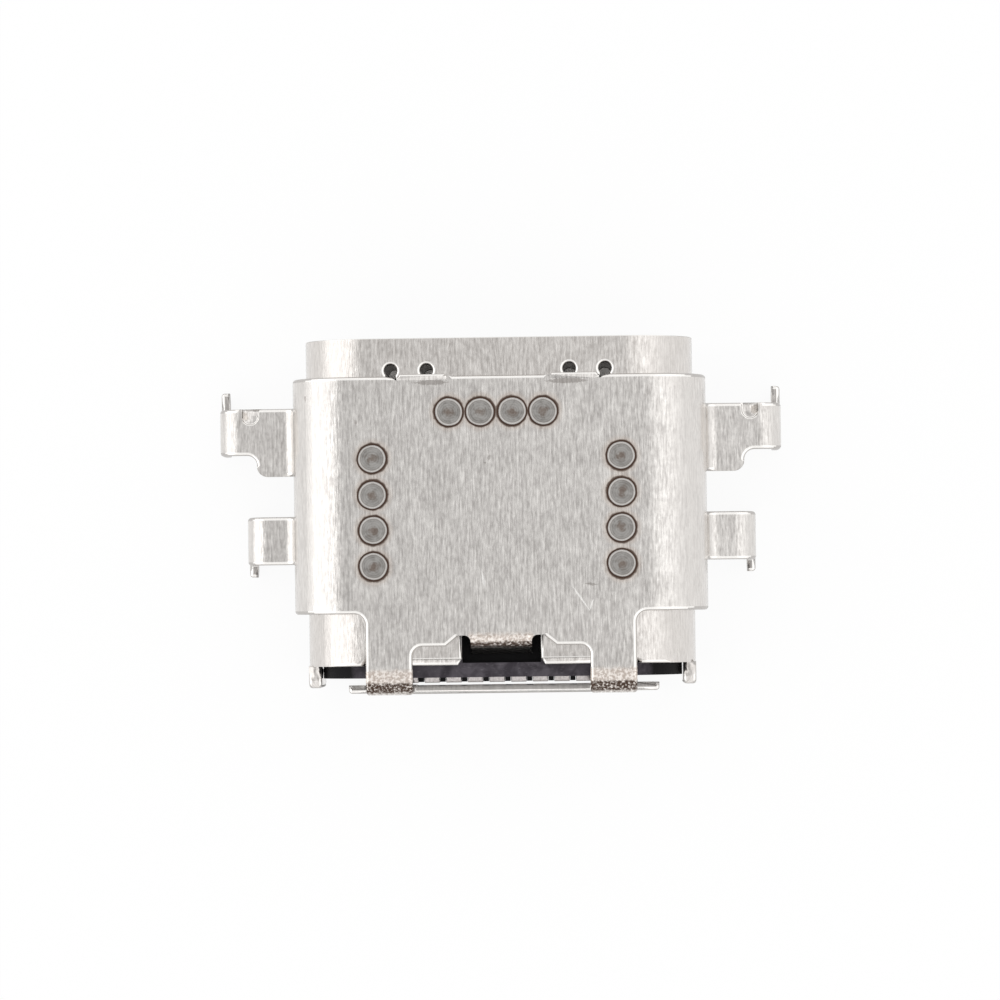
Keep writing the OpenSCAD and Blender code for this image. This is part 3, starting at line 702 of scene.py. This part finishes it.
# ---------------------------------------------------------------- sides of the sheets
def cover_outside(face):
    """Whether a face is on the cover's outer skin."""
    middle = face.calc_center_median() / MM
    outward = face.normal.x * math.copysign(1.0, middle.x)
    on_side = outward > FACING and abs(middle.x) > COVER_SIDE
    on_back = face.normal.y > FACING and middle.y > COVER_BACK
    on_skin_level = middle.z > COVER_PLATE_ABOVE or abs(middle.z - WING_TOP) < SKIN_REACH
    on_top = face.normal.z > TURNED_UP and (face.normal.z < LEVEL or on_skin_level)
    return on_top or on_side or on_back


def cover_inside(face):
    """No side of the cover is one that the plug slides in."""
    return False


def shell_inside(face):
    """Whether a face is on the side of the shell that the plug slides in."""
    middle = face.calc_center_median() / MM
    nearest = Vector((max(min(middle.x, MOUTH_STRAIGHT), -MOUTH_STRAIGHT), 0.0, 0.0))
    outward = Vector((middle.x - nearest.x, 0.0, middle.z)).normalized()
    from_axis = math.hypot(max(abs(middle.x) - MOUTH_STRAIGHT, 0.0), middle.z)
    return outward.dot(face.normal) < -FACING_IN and from_axis < SHELL_INSIDE


def shell_slot_wall(face):
    """Whether a face is the wall of one of the shell's slots or holes."""
    middle = face.calc_center_median() / MM
    return abs(middle.x) < MOUTH_STRAIGHT and abs(face.normal.z) < SLOT_WALL


def shell_outside(face):
    """Whether a face is on the shell's outer skin."""
    return abs(face.normal.y) < FACING and not shell_inside(face) and not shell_slot_wall(face)


# ---------------------------------------------------------------- rolled edges
def wall_height(skin, wall):
    """How high a punched wall stands under the skin that it meets."""
    levels = [vertex.co.dot(skin.normal) for vertex in wall.verts]
    return max(levels) - min(levels)


def roll_share(item, outside, inside, full):
    """How much of the full die roll an edge gets: less on thin lips, and a trace on the burr side."""
    first, second = item.link_faces
    if outside(second):
        first, second = second, first
    rolled = outside(first) or outside(second)
    at_mouth = all(vertex.co.y < MOUTH_RIM * MM for vertex in item.verts)
    if inside(first) or inside(second):
        rolled = at_mouth
    elif at_mouth:
        rolled = False
    lowest = min(wall_height(first, second), wall_height(second, first))
    most = ROLL_OF_WALL * lowest / (full * MM)
    return min(1.0 if rolled else BURR_SHARE, max(most, LEAST_SHARE))


def is_spared(vertex, zones):
    """Whether a corner lies in one of the zones where a roll has no room."""
    across, along = abs(vertex.co.x) / MM, vertex.co.y / MM
    return any(
        near_x < across < far_x and near_y < along < far_y
        for near_x, far_x, near_y, far_y in zones
    )


def part_at_zones(mesh, zones):
    """Parts the long edges that run out of a spared zone, so that only their ends stay sharp."""
    for item in list(mesh.edges):
        if item.calc_length() < 4 * SPARED_END * MM:
            continue
        parts = [item]
        for end in [vertex for vertex in item.verts if is_spared(vertex, zones)]:
            whole = next(part for part in parts if end in part.verts)
            share = SPARED_END * MM / whole.calc_length()
            parts.append(bmesh.utils.edge_split(whole, end, share)[0])


def roll_edges(name, mesh, edge):
    """The mesh with its weighted edges rounded, as new mesh data whose rounded faces have material 1."""
    data = bpy.data.meshes.new(name)
    mesh.to_mesh(data)
    data.materials.append(None)
    data.materials.append(None)
    blank = bpy.data.objects.new(name, data)
    bpy.context.scene.collection.objects.link(blank)
    roll = blank.modifiers.new("die_roll", "BEVEL")
    roll.limit_method = "WEIGHT"
    roll.width = edge * MM
    roll.segments = ROLL_STEPS
    roll.use_clamp_overlap = False
    roll.loop_slide = False
    roll.material = 1
    bpy.context.view_layer.update()
    finished = blank.evaluated_get(bpy.context.evaluated_depsgraph_get())
    rolled = bpy.data.meshes.new_from_object(finished)
    bpy.data.objects.remove(blank)
    return rolled


def rolled_blank(name, node, edge, outside, inside, spared):
    """The node's sheet with rolled edges, left sharp in the zones where a roll doesn't fit."""
    mesh = bmesh.new()
    mesh.from_mesh(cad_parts[node].data)
    bmesh.ops.remove_doubles(mesh, verts=mesh.verts, dist=SAME_POINT * MM)
    bmesh.ops.dissolve_limit(mesh, angle_limit=FLAT_EDGE, verts=mesh.verts, edges=mesh.edges)
    part_at_zones(mesh, spared)
    share = mesh.edges.layers.float.new("bevel_weight_edge")
    for item in mesh.edges:
        if item.is_manifold and item.calc_face_angle() > SHARP_EDGE:
            item[share] = roll_share(item, outside, inside, edge)
        if any(is_spared(vertex, spared) for vertex in item.verts):
            item[share] = 0.0
    rolled = roll_edges(name, mesh, edge)
    mesh.free()
    return rolled


def level_faces(mesh):
    """Puts corners that a roll's end pulled out of an upright or level face back in its plane."""
    for face in mesh.faces:
        facing = max(range(3), key=lambda number: abs(face.normal[number]))
        if len(face.verts) > 4 and abs(face.normal[facing]) > SQUARE:
            levels = sorted(vertex.co[facing] for vertex in face.verts)
            plane = levels[len(levels) // 2]
            for vertex in face.verts:
                if abs(vertex.co[facing] - plane) < ROLL_STRAY * MM:
                    vertex.co[facing] = plane


# ---------------------------------------------------------------- pieces
def new_piece(name, mesh, material):
    """A new visible piece on the one body, with its finish."""
    data = bpy.data.meshes.new(name)
    mesh.to_mesh(data)
    mesh.free()
    piece = bpy.data.objects.new(name, data)
    bpy.context.scene.collection.objects.link(piece)
    data.materials.append(material)
    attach(piece, "root")
    return piece


def shade_evenly(piece, weight):
    """Lets a piece's large faces rule its shading, so that they look flat."""
    shading = piece.modifiers.new("even_shading", "WEIGHTED_NORMAL")
    shading.keep_sharp = False
    shading.weight = weight


def keep_sheet_place(mesh, top, side_bend, rear_bend):
    """Keeps each corner's place on the flat strip: what hangs below the top lies further out on it."""
    place_layer = mesh.verts.layers.float_vector.new("sheet_place")
    for vertex in mesh.verts:
        across, along, up = (value / MM for value in vertex.co)
        if abs(across) > side_bend:
            across += math.copysign(top - up, across)
        if along > rear_bend:
            along += top - up
        vertex[place_layer] = (across, along, 0.0)


def mark_sides(mesh, outside, inside):
    """Marks the rounded rims, the sheared walls and the inner side for the steel's finish, where the rims
    get a painted highlight, the steep rims the walls' grey as painted shade, and the inner side painted
    shade.
    """
    rim_layer = mesh.faces.layers.float.new("punched_rim")
    wall_and_rim_shade_layer = mesh.faces.layers.float.new("sheared_wall_and_rim_shade")
    inner_layer = mesh.faces.layers.float.new("inner_side")
    for face in mesh.faces:
        is_rim = face.material_index == 1
        is_inner = inside(face)
        is_cut = abs(face.normal.z) < UPRIGHT or face.normal.z > LEVEL
        is_wall = is_cut and not is_rim and not outside(face) and not is_inner
        # steep rims take the walls' grey as painted shade
        is_steep_rim = is_rim and abs(face.normal.z) < STEEP_RIM
        face[rim_layer] = float(is_rim)
        face[inner_layer] = float(is_inner)
        face[wall_and_rim_shade_layer] = float(is_wall or is_steep_rim)
        face.material_index = 0
        face.smooth = True


def folded_sheet(name, node, material, edge, outside, inside, spared, top, side_bend, rear_bend):
    """The node's own sheet with its punched edges rolled over and the grain laid along its strip."""
    rolled_mesh = rolled_blank(name + "_punched", node, edge, outside, inside, spared)
    mesh = bmesh.new()
    mesh.from_mesh(rolled_mesh)
    bpy.data.meshes.remove(rolled_mesh)
    level_faces(mesh)
    keep_sheet_place(mesh, top, side_bend, rear_bend)
    mark_sides(mesh, outside, inside)
    piece = new_piece(name, mesh, material)
    shade_evenly(piece, SHEET_SHADING)
    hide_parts(node)


def rounded_node(node, material, edge):
    """Softens a CAD node's edges and gives it its finish."""
    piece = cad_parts[node]
    piece.data.materials.clear()
    piece.data.materials.append(material)
    piece.modifiers.new("close_seams", "WELD").merge_threshold = SAME_POINT * MM
    flat = piece.modifiers.new("one_face_a_side", "DECIMATE")
    flat.decimate_type = "DISSOLVE"
    flat.angle_limit = FLAT_EDGE
    soft = piece.modifiers.new("edge_round", "BEVEL")
    soft.width = edge * MM
    soft.segments = ROUND_STEPS
    soft.limit_method = "ANGLE"
    soft.angle_limit = SHARP_EDGE
    soft.use_clamp_overlap = True
    shade_evenly(piece, NODE_SHADING)


def weld_centres():
    """Middles of the twelve welds in mm: a row behind the cover's front edge and a column at each side."""
    row_y = COVER_FRONT / MM + WELD_ROW_BEHIND_EDGE
    centres = [((step - 1.5) * WELD_ROW_PITCH, row_y) for step in range(4)]
    for side in (-1, 1):
        for step in range(4):
            along = WELD_COLUMN_MIDDLE + (step - 1.5) * WELD_COLUMN_PITCH
            centres.append((side * WELD_COLUMN_SIDE, along))
    return centres


def weld_height(reach):
    """Height in mm of a weld's surface above the plate, from its middle to its rim."""
    eye = -WELD_EYE_DEPTH * math.exp(-((reach / WELD_EYE_WIDTH) ** 2))
    bead = WELD_BEAD_HEIGHT * math.exp(-(((reach - WELD_BEAD_REACH) / WELD_BEAD_WIDTH) ** 2))
    ripples = WELD_RIPPLE_HEIGHT * math.sin(reach * WELD_RIPPLES) * (1.0 - reach)
    return WELD_SKIN + eye + bead + ripples


def weld_corner(mesh, centre, radius, turn, lift):
    """A corner of a weld's surface, lifted in mm above the cover's top."""
    across = centre[0] + radius * math.cos(turn)
    along = centre[1] + radius * math.sin(turn)
    return mesh.verts.new((across * MM, along * MM, COVER_TOP + lift * MM))


def lay_weld(mesh, reach_layer, centre, lean):
    """One weld as rings from its middle out to a rim that sinks into the plate."""
    middle = weld_corner(mesh, centre, 0.0, 0.0, weld_height(0.0))
    inner = [middle] * WELD_STEPS
    for ring in range(1, WELD_RINGS + 1):
        reach = ring / WELD_RINGS
        lift = weld_height(reach) if ring < WELD_RINGS else -WELD_FOOT
        outer = []
        for step in range(WELD_STEPS):
            turn = math.tau * step / WELD_STEPS
            oval = WELD_OVAL * math.sin(2 * turn + lean)
            lobes = WELD_LOBES * math.sin(5 * turn - lean)
            drift = WELD_DRIFT * (1.0 - reach) * math.cos(turn - lean)
            radius = WELD_RADIUS * (reach * (1.0 + oval + lobes) + drift)
            vertex = weld_corner(mesh, centre, radius, turn, lift)
            vertex[reach_layer] = reach
            outer.append(vertex)
        for step in range(WELD_STEPS):
            following = (step + 1) % WELD_STEPS
            corners = [inner[step], outer[step], outer[following], inner[following]]
            face = mesh.faces.new(corners[:3] if ring == 1 else corners)
            face.smooth = True
        inner = outer


def weld_spots():
    """Twelve laser welds: a raised bead round a rippled pool."""
    chance = random.Random(12)
    mesh = bmesh.new()
    reach_layer = mesh.verts.layers.float.new("weld_reach")
    for across, along in weld_centres():
        lean = chance.uniform(0.0, math.tau)
        across += WELD_SHIFT + chance.uniform(-WELD_STRAY, WELD_STRAY)
        along += chance.uniform(-WELD_STRAY, WELD_STRAY)
        lay_weld(mesh, reach_layer, (across, along), lean)
    new_piece("weld_spots", mesh, WELD_METAL)


folded_sheet(
    "cover_sheet",
    "outer_cover",
    COVER_STEEL,
    edge=COVER_EDGE,
    outside=cover_outside,
    inside=cover_inside,
    spared=COVER_SPARED,
    top=COVER_TOP / MM,
    side_bend=COVER_SIDE_BEND,
    rear_bend=COVER_REAR_BEND,
)
folded_sheet(
    "shell_sheet",
    "inner_shell",
    SHELL_STEEL,
    edge=SHELL_EDGE,
    outside=shell_outside,
    inside=shell_inside,
    spared=SHELL_SPARED,
    top=SHELL_TOP / MM,
    side_bend=SHELL_SIDE_BEND,
    rear_bend=math.inf,
)
weld_spots()

rounded_node("tongue_housing", BLACK_PLASTIC, MOULDED_EDGE)
rounded_node("upper_contact_carrier", BLACK_PLASTIC, MOULDED_EDGE)
rounded_node("lower_contact_carrier", BLACK_PLASTIC, MOULDED_EDGE)
rounded_node("mid_plate", PLATE_STEEL, PLATE_EDGE)
rounded_node("upper_ground_plate", PLATE_STEEL, PLATE_EDGE)
rounded_node("lower_ground_plate", PLATE_STEEL, PLATE_EDGE)
for row in "ab":
    for number in range(1, 13):
        rounded_node(f"contact_{row}{number}", CONTACT_GOLD, CONTACT_EDGE)


# ---------------------------------------------------------------- floor, light and camera
def white_floor():
    """White paper that glows to the eye and to the steel, except close under the socket."""
    material, tree = new_material("white_floor")
    path = put(tree, "LightPath")
    place = millimetres(tree)
    cloud = speckle(tree, place, 0.06, 3.0)
    colour = blend_colour(tree, cloud, (0.86, 0.86, 0.86, 1), (0.9, 0.9, 0.9, 1))
    paper = put(tree, "BsdfDiffuse", {"Color": colour})
    glow = put(tree, "Emission", {"Color": (1, 1, 1, 1), "Strength": 1.0})
    seen = calc(tree, "MAXIMUM", path.outputs["Is Camera Ray"], path.outputs["Is Glossy Ray"])
    seen = calc(tree, "MAXIMUM", seen, path.outputs["Is Transmission Ray"])
    across, along, _ = axes(tree, place)
    beside = calc(tree, "SUBTRACT", calc(tree, "ABSOLUTE", across), SHADED_SIDE)
    beyond = calc(tree, "SUBTRACT", calc(tree, "ABSOLUTE", along), SHADED_END)
    open_floor = remap(tree, calc(tree, "MAXIMUM", beside, beyond), -SHADED_SOFT, SHADED_SOFT)
    share = times(tree, times(tree, seen, FLOOR_GLOW), open_floor)
    mixed = put(tree, "MixShader", {0: share, 1: paper.outputs[0], 2: glow.outputs[0]})
    put(tree, "OutputMaterial", {"Surface": mixed.outputs[0]})
    mesh = bmesh.new()
    bmesh.ops.create_grid(mesh, x_segments=2, y_segments=2, size=FLOOR_HALF * MM)
    data = bpy.data.meshes.new("floor")
    mesh.to_mesh(data)
    mesh.free()
    floor = bpy.data.objects.new("floor", data)
    floor.location = (0.0, SHADED_MIDDLE * MM, cad_box[0][2])
    data.materials.append(material)
    bpy.context.scene.collection.objects.link(floor)


def level_ramp(tree, value, levels):
    """A light level that follows a direction's share, given as (share, level) pairs from -1 to 1."""
    ramp = put(tree, "ValToRGB", {"Fac": remap(tree, value, -1.0, 1.0, smooth=False)})
    stops = ramp.color_ramp.elements
    stops[0].position = 0.0
    stops[1].position = 1.0
    for where, _ in levels[1:-1]:
        stops.new((where + 1.0) / 2.0)
    for stop, (_, level) in zip(stops, levels):
        stop.color = (level / TENT_LEVEL, level / TENT_LEVEL, level / TENT_LEVEL, 1.0)
    return ramp.outputs["Color"]


def studio_light():
    """A white tent that is dimmer overhead, bright from one side, and lit again low in front and behind."""
    world = bpy.data.worlds.new("studio")
    bpy.context.scene.world = world
    world.use_nodes = True
    tree = world.node_tree
    tree.nodes.clear()
    way = put(tree, "TexCoord").outputs["Generated"]
    side, depth, _ = axes(tree, way)
    sides = level_ramp(tree, side, SIDE_LEVELS)
    ends = level_ramp(tree, depth, END_LEVELS)
    both = blend_colour(tree, 1.0, sides, ends, "LIGHTEN")
    seen = put(tree, "LightPath").outputs["Is Camera Ray"]
    tent = put(tree, "Background", {"Color": both, "Strength": TENT_LEVEL})
    white = put(tree, "Background", {"Color": (1, 1, 1, 1), "Strength": 1.0})
    mixed = put(tree, "MixShader", {0: seen, 1: tent.outputs[0], 2: white.outputs[0]})
    put(tree, "OutputWorld", {"Surface": mixed.outputs[0]})


def camera():
    """Looks down on the socket with its mouth at the top of the view."""
    data = bpy.data.cameras.new("camera")
    data.sensor_width = VIEW_SENSOR
    data.lens = VIEW_LENS
    data.clip_start = 1.0 * MM
    data.clip_end = 10.0
    made = bpy.data.objects.new("camera", data)
    bpy.context.scene.collection.objects.link(made)
    turn = (
        Matrix.Rotation(math.radians(-VIEW_SIDE), 4, "Y")
        @ Matrix.Rotation(math.radians(-VIEW_BEHIND), 4, "X")
        @ Matrix.Rotation(math.radians(180.0 - VIEW_ROLL), 4, "Z")
    )
    target = Vector(VIEW_TARGET) * MM
    back = turn @ Vector((0.0, 0.0, VIEW_DISTANCE * MM))
    made.matrix_world = Matrix.Translation(target + back) @ turn
    bpy.context.scene.camera = made


white_floor()
studio_light()
camera()
bpy.context.scene.view_settings.view_transform = "Standard"

bpy.context.view_layer.update()
